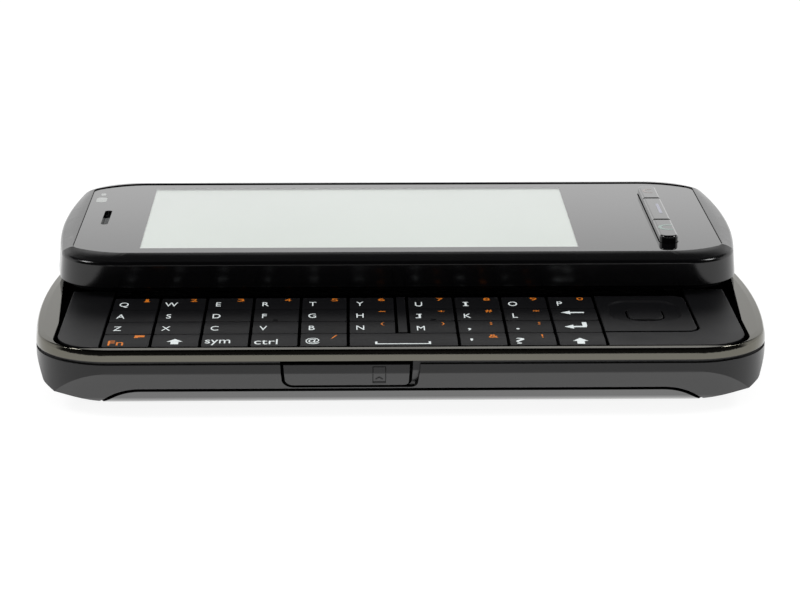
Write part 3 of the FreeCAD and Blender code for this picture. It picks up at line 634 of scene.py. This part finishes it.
def settle(piece, name, body, material=None):
    """Name a finished piece, give it its finish and let it ride on a body."""
    only(piece)
    bpy.ops.object.transform_apply()
    bpy.ops.object.shade_smooth_by_angle(angle=math.radians(35))
    piece.name = piece.data.name = name
    if material:
        piece.data.materials.clear()
        piece.data.materials.append(material)
    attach(piece, body)
    return piece


print("marks can face", sorted(TURNS))

# %% [markdown]
# ## The key legends
# Each letter key has its white capital near the left edge and, on many, a small orange character
# near the right that the Fn key calls up. Places are measured from a line just inside the cap's left
# edge and from its middle line. The orange row sits a little lower on each row toward the user, as
# the printing plate had it.

# %% Letters and their second characters
edge_inset = 0.1                                  # mm from the cap's left edge to the line
letter_at, second_at = 1.5, 4.95                  # mm from the line
letter_drop = {"left": -0.65, "right": -1.0}      # from the middle line, by half of the keyboard
second_rise = (1.75, 1.6, 1.3)                    # from the middle line, row by row from the back
letter_height, second_height = 2.05, 1.7
sign_height = {"-": 0.3, "+": 0.85, "*": 0.85}    # of the signs that are lower than a digit
second_width, narrow_width = 1.05, 0.5            # the narrow ones are 1 and the brackets
foot_width, foot_height = 0.9, 0.3                # of the 1
stroke, serif_width, serif_height = 0.34, 0.85, 0.26      # of the letters that are drawn as bars
hook = 0.24                                       # how far the J's foot is moved to the left
key_rows = ["qwertyuiop", "asdfghjkl", "zxcvbnm"]
seconds = dict(zip("qwertyuiop" + "hjkl" + "nm", "1234567890" + "-+#*" + "()"))


def cap_of(name):
    """A line just inside the left edge of a key cap, and the cap's middle line, in mm."""
    low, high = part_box(name)
    return low.x / MM + edge_inset, (low.y + high.y) / 2 / MM


def slab_serif(x, y, foot):
    """The I, and with its foot moved to the left the J, of a face with slab serifs."""
    rise = (letter_height - serif_height) / 2
    return [flat_bar(x, y, stroke, letter_height - 2 * serif_height, white_ink),
            flat_bar(x - foot / 3, y + rise, serif_width, serif_height, white_ink),
            flat_bar(x - foot, y - rise, serif_width, serif_height, white_ink)]


def second_mark(sign, x, y):
    """The small orange character; a bar makes the foot of the 1."""
    width = narrow_width if sign in "1()" else second_width
    marks = [flat_text(sign, x, y, sign_height.get(sign, second_height), orange_ink, width)]
    if sign == "1":
        marks.append(flat_bar(x, y - second_height / 2, foot_width, foot_height, orange_ink))
    return marks


legends = {}
for letters, rise in zip(key_rows, second_rise):
    for letter in letters:
        left, middle = cap_of("key_" + letter)
        x, y = left + letter_at, middle + letter_drop["left" if left < 0 else "right"]
        if letter in "ij":
            marks = slab_serif(x, y, hook if letter == "j" else 0)
        else:
            marks = [flat_text(letter.upper(), x, y, letter_height, white_ink)]
        if letter in seconds:
            marks += second_mark(seconds[letter], left + second_at, middle + rise)
        legends["key_" + letter] = marks
print("letter keys with legends", len(legends))

# %% Signs and words
words = {          # node: (text, x, y, height, width, ink) for each mark, in mm
    "key_comma": [(",", 1.5, -1.65, 1.0, 0.5, white_ink), (";", second_at, 1.3, 1.5, 0.4, orange_ink)],
    "key_period": [(".", 1.5, -1.5, 0.55, 0.5, white_ink), (":", second_at, 1.3, 1.3, 0.4, orange_ink)],
    "key_at": [("@", 1.71, -0.88, 2.8, 2.1, white_ink), ("/", second_at, 1.2, 1.8, 0.9, orange_ink)],
    "key_apostrophe": [("'", 1.58, -0.63, 1.0, 0.4, white_ink), ("&", second_at, 1.2, 1.8, 1.4, orange_ink)],
    "key_question": [("?", 1.46, -1.2, 2.6, 1.3, white_ink), ("!", second_at, 1.2, 1.8, 0.3, orange_ink)],
    "key_fn": [("Fn", 1.87, -1.5, 2.05, 2.3, orange_ink)],
    "key_sym": [("sym", 2.29, -1.4, 2.4, 3.8, white_ink)],
    "key_ctrl": [("ctrl", 2.13, -1.17, 2.3, 3.5, white_ink)],
    "key_shift_left": [("⬆", 3.27, -0.91, 2.4, 2.4, white_ink)],
    "key_shift_right": [("⬆", 3.12, -1.35, 2.6, 2.3, white_ink)],
}
for node, marks in words.items():
    left, middle = cap_of(node)
    legends[node] = [flat_text(body, left + x, middle + y, height, ink, width)
                     for body, x, y, height, width, ink in marks]
print("signs and words on", sorted(words))

# %% Marks drawn from bars and arrow heads
head_length, head_width = 1.4, 1.9
left, middle = cap_of("key_fn")           # beside the letters, a small block with a foot
legends["key_fn"] += [flat_bar(left + 5.22, middle + 1.95, 1.5, 1.1, orange_ink),
                      flat_bar(left + 4.72, middle + 1.3, 0.6, 0.5, orange_ink)]
left, middle = cap_of("key_backspace")
y = middle + 0.48
legends["key_backspace"] = [flat_head(left + 1.36, y, head_length, head_width, white_ink),
                            flat_bar(left + 3.8, y, 2.3, 0.55, white_ink)]
left, middle = cap_of("key_enter")
y = middle - 0.6
legends["key_enter"] = [flat_head(left + 1.28, y, head_length, head_width, white_ink),
                        flat_bar(left + 3.6, y, 2.2, 0.6, white_ink),
                        flat_bar(left + 4.45, middle + 0.75, 0.7, 2.1, white_ink)]
bracket_x, bracket_y = 0.08, cap_of("key_space")[1] - 1.78
bracket_width, bracket_height = 8.4, 0.82
legends["key_space"] = [flat_bar(bracket_x, bracket_y - 0.55, bracket_width, 0.28, white_ink)]
for side in (-1, 1):
    end_x = bracket_x + side * (bracket_width - stroke) / 2
    legends["key_space"].append(flat_bar(end_x, bracket_y, stroke, bracket_height, white_ink))
print("keys with legends", len(legends), "of", len(letter_keys))

# %% Print the legends
deepest = 0.2                 # mm below the cap's top; a mark lower than that has missed the cap
for node, marks in legends.items():
    printed = lay_on(marks, node, "top")
    bottom = min(vertex.co.z for vertex in printed.data.vertices)
    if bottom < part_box(node)[1].z - deepest * MM:
        print("a mark missed its cap", node, round(bottom / MM, 3))
    settle(printed, node + "_print", node)
print("printed", len(legends), "caps")

# %% [markdown]
# ## Home bumps
# F and J have a short raised bar near the front edge, so that fingers find the home row. It is part of
# the moulding: a cube, flattened, with its edges rounded by a Bevel modifier.

# %% Home bumps
def rounded_block(centre, size, edge, segments=3):
    """A block with rounded edges; all in mm."""
    block = start(bpy.ops.mesh.primitive_cube_add, size=1, location=Vector(centre) * MM)
    block.scale = Vector(size) * MM
    bpy.ops.object.transform_apply()
    modify(block, "BEVEL", width=edge * MM, segments=segments)
    return block


bump_size, bump_edge = (0.8, 0.3, 0.2), 0.09
bump_drop, bump_z = 2.6, 10.43            # mm in front of the middle line, and above the table
for node, offset in (("key_f", 3.27), ("key_j", 3.6)):
    left, middle = cap_of(node)
    bump = rounded_block((left + offset, middle - bump_drop, bump_z), bump_size, bump_edge)
    settle(bump, node + "_home_bump", node, key_black)
print("home bumps on F and J")

# %% [markdown]
# ## Symbols on the raised keys and the sides
# The call key has an open ring, the menu key a bar and the end key a shorter, fainter ring. The card
# door has a card outline with an arrow head on it. On the far side the rocker says plus and minus,
# the shutter key has a small camera, and the power key on the end its usual sign.

# %% Symbols on the raised keys
bar_x = {"call": 44.55, "menu": 44.43, "end": 44.4}        # mm, the middle of each symbol
ring = [flat_arc(bar_x["call"], 16.45, 1.45, 0.5, 60, 300, green_ink)]
settle(lay_on(ring, "call_key", "top", strip=5), "call_key_print", "call")
bar = [flat_bar(bar_x["menu"], slide_open, 0.5, 6.3, lilac_ink)]
settle(lay_on(bar, "menu_key", "top", strip=10), "menu_key_print", "menu")
ring = [flat_arc(bar_x["end"], 41.3, 1.2, 0.4, 80, 280, red_ink)]
settle(lay_on(ring, "end_key", "top", strip=5), "end_key_print", "end")
print("symbols on the raised keys", sorted(bar_x))

# %% The card on its door
symbol_x, symbol_low, symbol_high = -3.55, 4.75, 7.98
width, line = 1.9, 0.16
middle = (symbol_low + symbol_high) / 2
card = [flat_bar(symbol_x, symbol_high, width, line, black_ink),
        flat_bar(symbol_x - width / 2, middle, line, symbol_high - symbol_low, black_ink),
        flat_bar(symbol_x + width / 2, middle, line, symbol_high - symbol_low, black_ink),
        flat_bar(symbol_x, symbol_low + line, width, 0.45, black_ink)]
arrow_x, arrow_y, arrow_turn = 0.26, symbol_low + 1.1, math.radians(42)
for side in (-1, 1):
    card.append(flat_bar(symbol_x + side * arrow_x, arrow_y, 0.78, 0.24, black_ink, -side * arrow_turn))
settle(lay_on(card, "memory_card_door", "front", strip=0.3), "card_door_print", "card_door")
print("card symbol is", width, "by", round(symbol_high - symbol_low, 2), "mm")

# %% Symbols on the side keys
key_height, symbol_strip = 6.3, 0.3       # mm, the middle of the side keys above the table
sign_width, sign_line = 1.5, 0.25
from_ends = 3.0                           # mm, the plus and the minus from the rocker's ends
rocker_low, rocker_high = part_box("volume_rocker")
plus_x = -(rocker_low.x / MM + from_ends)          # x turns round when seen from the far side
minus_x = -(rocker_high.x / MM - from_ends)
signs = [flat_bar(plus_x, key_height, sign_width, sign_line, white_ink),
         flat_bar(plus_x, key_height, sign_line, 1.3, white_ink),
         flat_bar(minus_x, key_height, sign_width, sign_line, white_ink)]
signs = lay_on(signs, "volume_rocker", "back", strip=symbol_strip)
settle(signs, "volume_rocker_print", "volume")

low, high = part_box("camera_key")
shutter_x = -(low.x + high.x) / 2 / MM
camera_line, camera_wide = 0.2, 2.0
camera_sign = [flat_bar(shutter_x, key_height + 0.5, camera_wide, camera_line, white_ink),
               flat_bar(shutter_x, key_height - 0.6, camera_wide, camera_line, white_ink),
               flat_arc(shutter_x, key_height - 0.05, 0.32, 0.14, 0, 359, white_ink)]
for side in (-1, 1):
    camera_sign.append(flat_bar(shutter_x + side * 0.95, key_height - 0.05, camera_line, 1.3, white_ink))
camera_sign = lay_on(camera_sign, "camera_key", "back", strip=symbol_strip)
settle(camera_sign, "camera_key_print", "shutter")

power_line = 0.18
power_sign = [flat_arc(0, key_height - 0.1, 0.6, power_line, 120, 420, white_ink),
              flat_bar(0, key_height + 0.4, power_line, 0.7, white_ink)]
power_sign = lay_on(power_sign, "power_key", "left", strip=symbol_strip)
settle(power_sign, "power_key_print", "power")
print("plus at x", round(-plus_x, 2), "minus at x", round(-minus_x, 2), "shutter at x", round(-shutter_x, 2))

# %% [markdown]
# ## Windows in the black print of the glass
# Beside the earpiece the black print leaves two small windows: one for the camera that faces the
# user and one for the light and nearness sensors. From outside each is a paler patch, flush with the
# glass, so it is a thin rounded plate.

# %% Front camera and sensor windows
glass_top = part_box("touch_window")[1].z / MM
lift, border, border_rise = 0.004, 0.12, 0.006      # mm; the rim of a window is bevelled by a hair
for name, centre, size, corner in (("front_camera_window", (-50.7, 41.2), (1.8, 3.2), 0.6),
                                   ("sensor_window", (-50.7, 45.0), (0.8, 1.6), 0.35)):
    window = start(bpy.ops.mesh.primitive_plane_add, size=1)
    window.scale = (size[0] * MM, size[1] * MM, 1)
    window.location = (centre[0] * MM, centre[1] * MM, (glass_top + lift) * MM)
    bpy.ops.object.transform_apply()
    bpy.ops.object.mode_set(mode="EDIT")
    bpy.ops.mesh.select_all(action="SELECT")
    bpy.ops.mesh.bevel(offset=corner * MM, segments=5, affect="VERTICES")
    bpy.ops.mesh.inset(thickness=border * MM, depth=border_rise * MM)
    bpy.ops.object.mode_set(mode="OBJECT")
    settle(window, name, "slide", sensor_grey)
print("windows at", round(glass_top, 2), "mm")

# %% [markdown]
# ## Wire meshes
# The earpiece slot and the four loudspeaker slots in the cover have a fine woven mesh behind them that
# keeps dust out. A grid of squares run through the Wireframe modifier leaves only its wires. The real
# weave is about 0.1 mm; it is drawn 0.25 mm and up, so that it shows.

# %% Earpiece and loudspeaker meshes
def wire_mesh(name, centre, size, pitch, wire, body):
    """A flat mesh of crossing wires; all in mm."""
    columns, rows = round(size[0] / pitch), round(size[1] / pitch)
    net = start(bpy.ops.mesh.primitive_grid_add, x_subdivisions=columns, y_subdivisions=rows, size=1,
                location=Vector(centre) * MM)
    net.scale = (size[0] * MM, size[1] * MM, 1)
    bpy.ops.object.transform_apply()
    modify(net, "WIREFRAME", thickness=wire * MM, use_boundary=True)
    return settle(net, name, body, mesh_paint)


slot_depth = 1.34             # mm, from the glass down to the mesh
ear_mesh = wire_mesh("earpiece_mesh", (-48.8, slide_open, glass_top - slot_depth), (1.16, 9.3), 0.25, 0.13,
                     "slide")
speaker_mesh = wire_mesh("loudspeaker_mesh", (-26.0, -14.0, 1.3), (12.0, 6.0), 0.4, 0.14,
                         "back_cover")
print("mesh faces", len(ear_mesh.data.polygons), len(speaker_mesh.data.polygons))

# %% [markdown]
# ## The rear camera and its lamp
# The lens barrel looks out through the cover. Its face has a turned aluminium ring, and in its mouth
# sits a coated lens over a stepped black baffle. The ring and the baffle start as a disc whose faces
# are inset and extruded again and again, as a lathe would step them; the lens is a sphere, cut and
# flattened. The lamp window beside it has the concentric grooves of a Fresnel lens.

# %% Rear camera materials
lens_glass, tree, place = start_material("coated_lens_glass")
facing = add(tree, "LayerWeight", {"Blend": 0.4})
coating = add(tree, "Mix", {"data_type": "RGBA", mix_a: linear("#b7c9e6"), mix_b: linear("#d9b3df")},
              {0: facing.outputs["Facing"]})
dust = add(tree, "TexNoise", {"Scale": per_mm(0.6), "Detail": 2.0}, {"Vector": place})
gloss = add(tree, "MapRange", {"To Min": 0.0, "To Max": 0.06}, {"Value": dust})
shader = add(tree, "BsdfPrincipled", {"IOR": 1.6, "Transmission Weight": 0.9},
             {"Base Color": coating.outputs[mixed], "Roughness": gloss})
end_material(tree, shader)
lamp_plastic = moulded_plastic("clear_yellowish_lamp_window", "#d9d3a4", 0.12, 0.3, 0.05, edge=0.02)
ring_metal = brushed_metal("turned_aluminium_ring", "#9c9da0", 0.18, 0.15, 0.10)
print("rear camera finishes", lens_glass.name, lamp_plastic.name, ring_metal.name)


# %% Turned discs
def turned_disc(centre, radius, steps):
    """A disc that faces down, stepped like a turned part: (inset, rise) in mm, from the rim inwards."""
    disc = start(bpy.ops.mesh.primitive_circle_add, vertices=64, radius=radius * MM, fill_type="NGON",
                 location=Vector(centre) * MM)
    disc.rotation_euler = (math.pi, 0, 0)
    bpy.ops.object.transform_apply()
    bpy.ops.object.mode_set(mode="EDIT")
    bpy.ops.mesh.select_all(action="SELECT")
    for inset, rise in steps:
        bpy.ops.mesh.inset(thickness=inset * MM, depth=rise * MM)
    bpy.ops.object.mode_set(mode="OBJECT")
    return disc


camera_x, camera_y, lamp_y = -34.0, 0.0, 8.2
ring_z, ring_radius = 0.5, 4.1
ring_steps = [(0.02, 0.14), (0.25, 0.04), (0.7, 0), (0.25, -0.06), (0.08, -0.13)]
ring = turned_disc((camera_x, camera_y, ring_z), ring_radius, ring_steps)
only(ring)
bpy.ops.object.mode_set(mode="EDIT")
bpy.ops.mesh.delete(type="ONLY_FACE")
bpy.ops.object.mode_set(mode="OBJECT")
settle(ring, "rear_camera_ring", "base", ring_metal)

baffle_z, baffle_radius = 1.28, 2.55
baffle_steps = [(0.35, 0), (0.02, -0.12), (0.4, 0), (0.02, -0.12), (0.4, 0), (0.02, -0.15), (0.5, -0.1)]
baffle = turned_disc((camera_x, camera_y, baffle_z), baffle_radius, baffle_steps)
settle(baffle, "rear_camera_baffle", "base", camera_black)

lamp_z, lamp_radius = 0.49, 1.5
grooves = [(0.1, 0.05)] + [(0.16, 0.05), (0.04, -0.05)] * 5
lamp_window = turned_disc((camera_x, lamp_y, lamp_z), lamp_radius, grooves)
settle(lamp_window, "rear_lamp_window", "base", lamp_plastic)
print("ring faces", len(ring.data.polygons), "baffle faces", len(baffle.data.polygons))

# %% Rear lens
lens_radius, lens_z, lens_flatness = 2.4, 1.2, 0.22
lens = start(bpy.ops.mesh.primitive_uv_sphere_add, segments=48, ring_count=24, radius=lens_radius * MM,
             location=(camera_x * MM, camera_y * MM, lens_z * MM))
lens.scale = (1, 1, lens_flatness)
bpy.ops.object.transform_apply()
bpy.ops.object.mode_set(mode="EDIT")
bpy.ops.mesh.select_all(action="SELECT")
bpy.ops.mesh.bisect(plane_co=(0, 0, lens_z * MM), plane_no=(0, 0, 1), use_fill=True, clear_outer=True)
bpy.ops.object.mode_set(mode="OBJECT")
settle(lens, "rear_camera_lens", "base", lens_glass)

# %% [markdown]
# ## Contacts inside the sockets
# Looking into a socket, the eye expects metal: three sprung leaves round the headset bore, the thin
# pin of the charger, and the tongue of the data socket with its five gold strips. The battery rests
# against three contacts of its own.

# %% Contacts of the headset and the charger
jack_y, jack_z, jack_radius = 12.0, 6.15, 1.8
leaf_size, leaf_sink = (3.0, 0.7, 0.24), 0.02
leaves = []
for i in range(3):
    leaf = rounded_block((-51.0, 0, jack_radius - leaf_sink), leaf_size, 0.1)
    leaf.rotation_euler = (math.radians(90 + 120 * i), 0, 0)
    leaf.location = (0, jack_y * MM, jack_z * MM)
    only(leaf)
    bpy.ops.object.transform_apply()
    leaves.append(leaf)
settle(join(leaves), "headset_contacts", "base", contact_gold)

charger_y, charger_z = -10.0, 5.8
pin_x, pin_radius, pin_length, pin_nose = 49.8, 0.3, 6.5, 0.14
pin = start(bpy.ops.mesh.primitive_cylinder_add, vertices=24, radius=pin_radius * MM,
            depth=pin_length * MM, location=(pin_x * MM, charger_y * MM, charger_z * MM),
            rotation=(0, math.pi / 2, 0))
bpy.ops.object.transform_apply()
modify(pin, "BEVEL", width=pin_nose * MM, segments=3)
settle(pin, "charger_pin", "base", pin_metal)
print("pin is", [round(v / MM, 2) for v in pin.dimensions], "mm")

# %% Contacts of the data socket and the battery
usb_y, usb_z = -12.0, 6.2
strip_size, strip_pitch, strip_z = (2.8, 0.35, 0.08), 0.65, usb_z - 0.27
tongue = rounded_block((-52.0, usb_y, usb_z), (3.4, 3.8, 0.5), 0.1)
settle(tongue, "data_socket_tongue", "base", camera_black)
strips = [rounded_block((-52.1, usb_y + i * strip_pitch, strip_z), strip_size, 0.02, 1) for i in range(-2, 3)]
settle(join(strips), "data_socket_contacts", "base", contact_gold)

battery_end, contact_size = battery_low.x / MM, (1.6, 1.1, 0.9)
contacts = [rounded_block((battery_end - 0.5, y, 3.6), contact_size, 0.2) for y in (-5.0, 0.0, 5.0)]
settle(join(contacts), "battery_contacts", "base", contact_gold)

# %% [markdown]
# ## Screw drives
# Four screws hold the carriage to the screen half, and their heads show from below. Each has a
# cross-shaped recess; seen from outside it is a dark cross with sloping arms, so it is made as two
# dark bars with rounded edges, sunk into the head.

# %% Crosses in the screw heads
arm_size, arm_edge = (1.5, 0.34, 0.12), 0.05
cross_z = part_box("slide_carriage")[0].z / MM + 0.09
cross_turn = 0.4              # radians, since a driver never stops a screw square to the phone
crosses = []
for x, spread in ((38.4, 19.0), (-49.5, 13.5)):
    for y in (-spread, spread):
        for turn in (cross_turn, cross_turn + math.pi / 2):
            arm = rounded_block((0, 0, 0), arm_size, arm_edge, 2)
            arm.rotation_euler = (0, 0, turn)
            arm.location = Vector((x, y + slide_open, cross_z)) * MM
            only(arm)
            bpy.ops.object.transform_apply()
            crosses.append(arm)
settle(join(crosses), "carriage_screw_drives", "slide", camera_black)
print("crosses at z", round(cross_z, 2), "mm")

# %% [markdown]
# ## Stage and light
# The phone lies in a light tent: white floor and back wall, white sides, a lamp at each side, and a
# dark room in front where the camera stands. A black glossy thing is seen almost only by what it
# reflects, so the world is what matters: white near the horizon behind and beside the phone, dark
# overhead and toward the camera. The white is for camera, glossy and transmission rays; the light
# that falls on the phone stays at a plain level.

# %% Floor
floor_size = 8                # metres
white_level = 0.88            # what the lamps and the world add makes it white
floor = start(bpy.ops.mesh.primitive_plane_add, size=floor_size)
floor.name = "floor"
floor_white, tree, place = start_material("white_paper_floor")
rays = add(tree, "LightPath").outputs
seen = rays["Is Camera Ray"]
for ray in ("Is Glossy Ray", "Is Transmission Ray"):
    seen = add(tree, "Math", {"operation": "ADD", "use_clamp": True}, {0: seen, 1: rays[ray]})
glow = add(tree, "Math", {"operation": "MULTIPLY", 1: white_level}, {0: seen})
paper = add(tree, "BsdfDiffuse", {"Color": linear("#7c7c7c")})
white = add(tree, "Emission", {"Color": linear("#ffffff")}, {"Strength": glow})
shader = add(tree, "AddShader", links={0: paper, 1: white})
end_material(tree, shader)
floor.data.materials.append(floor_white)
floor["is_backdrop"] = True
print("floor", floor_size, "m wide")

# %% World
world = bpy.data.worlds.new("light_tent")
bpy.context.scene.world = world
world.use_nodes = True
tree = world.node_tree
tree.nodes.clear()
rays = add(tree, "LightPath").outputs
direction = add(tree, "TexCoord").outputs["Generated"]
axes = add(tree, "SeparateXYZ", links={0: direction})


def band(low, high, first, last):
    """A level that changes from first to last between two heights above the horizon, in degrees."""
    return add(tree, "MapRange",
               {"From Min": math.sin(math.radians(low)), "From Max": math.sin(math.radians(high)),
                "To Min": first, "To Max": last, "interpolation_type": "SMOOTHSTEP"},
               {"Value": axes.outputs["Z"]})


even_level = 0.75                          # the light that falls on the phone, from everywhere
float_a, float_b = 2, 3                    # a Mix node's number sockets
wall_top = band(13.4, 15.8, 1.0, 0.78)     # the white wall, and the greyer cloth above it
roof = band(24, 38, 1.0, 0.05)             # overhead the tent is open to a dark room
walls = add(tree, "Math", {"operation": "MULTIPLY"}, {0: wall_top, 1: roof})
behind = add(tree, "MapRange",   # from the dark room in front to the tent at the sides
             {"From Min": -0.22, "From Max": 0.10, "To Min": 0.03, "To Max": 1.0,
              "interpolation_type": "SMOOTHSTEP"}, {"Value": axes.outputs["Y"]})
tent = add(tree, "Math", {"operation": "MULTIPLY"}, {0: walls, 1: behind})
seen = add(tree, "Math", {"operation": "MAXIMUM"},
           {0: rays["Is Glossy Ray"], 1: rays["Is Transmission Ray"]})
light = add(tree, "Mix", {float_a: even_level}, {0: seen, float_b: tent})
level = add(tree, "Math", {"operation": "MAXIMUM"}, {0: light, 1: rays["Is Camera Ray"]})
background = add(tree, "Background", {"Color": linear("#ffffff")}, {"Strength": level})
add(tree, "OutputWorld", links={"Surface": background})
print("world", world.name, "lights the phone at", even_level)

# %% Lamps
lamp_reach, lamp_forward, lamp_height = 0.60, -0.06, 0.66      # metres
lamp_size, lamp_power = 0.24, 2.0                              # metres and watts
for side, name in ((-1, "lamp_left"), (1, "lamp_right")):
    bpy.ops.object.light_add(type="AREA", location=(side * lamp_reach, lamp_forward, lamp_height))
    lamp = bpy.context.object
    lamp.name = name
    lamp.data.size = lamp_size
    lamp.data.energy = lamp_power
    lamp.rotation_euler = (-lamp.location).to_track_quat("-Z", "Y").to_euler()
bpy.context.scene.view_settings.view_transform = "Standard"

# %% Sizes and the last line
low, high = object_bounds()
print("visual size in mm", [round(v / MM, 2) for v in high - low])
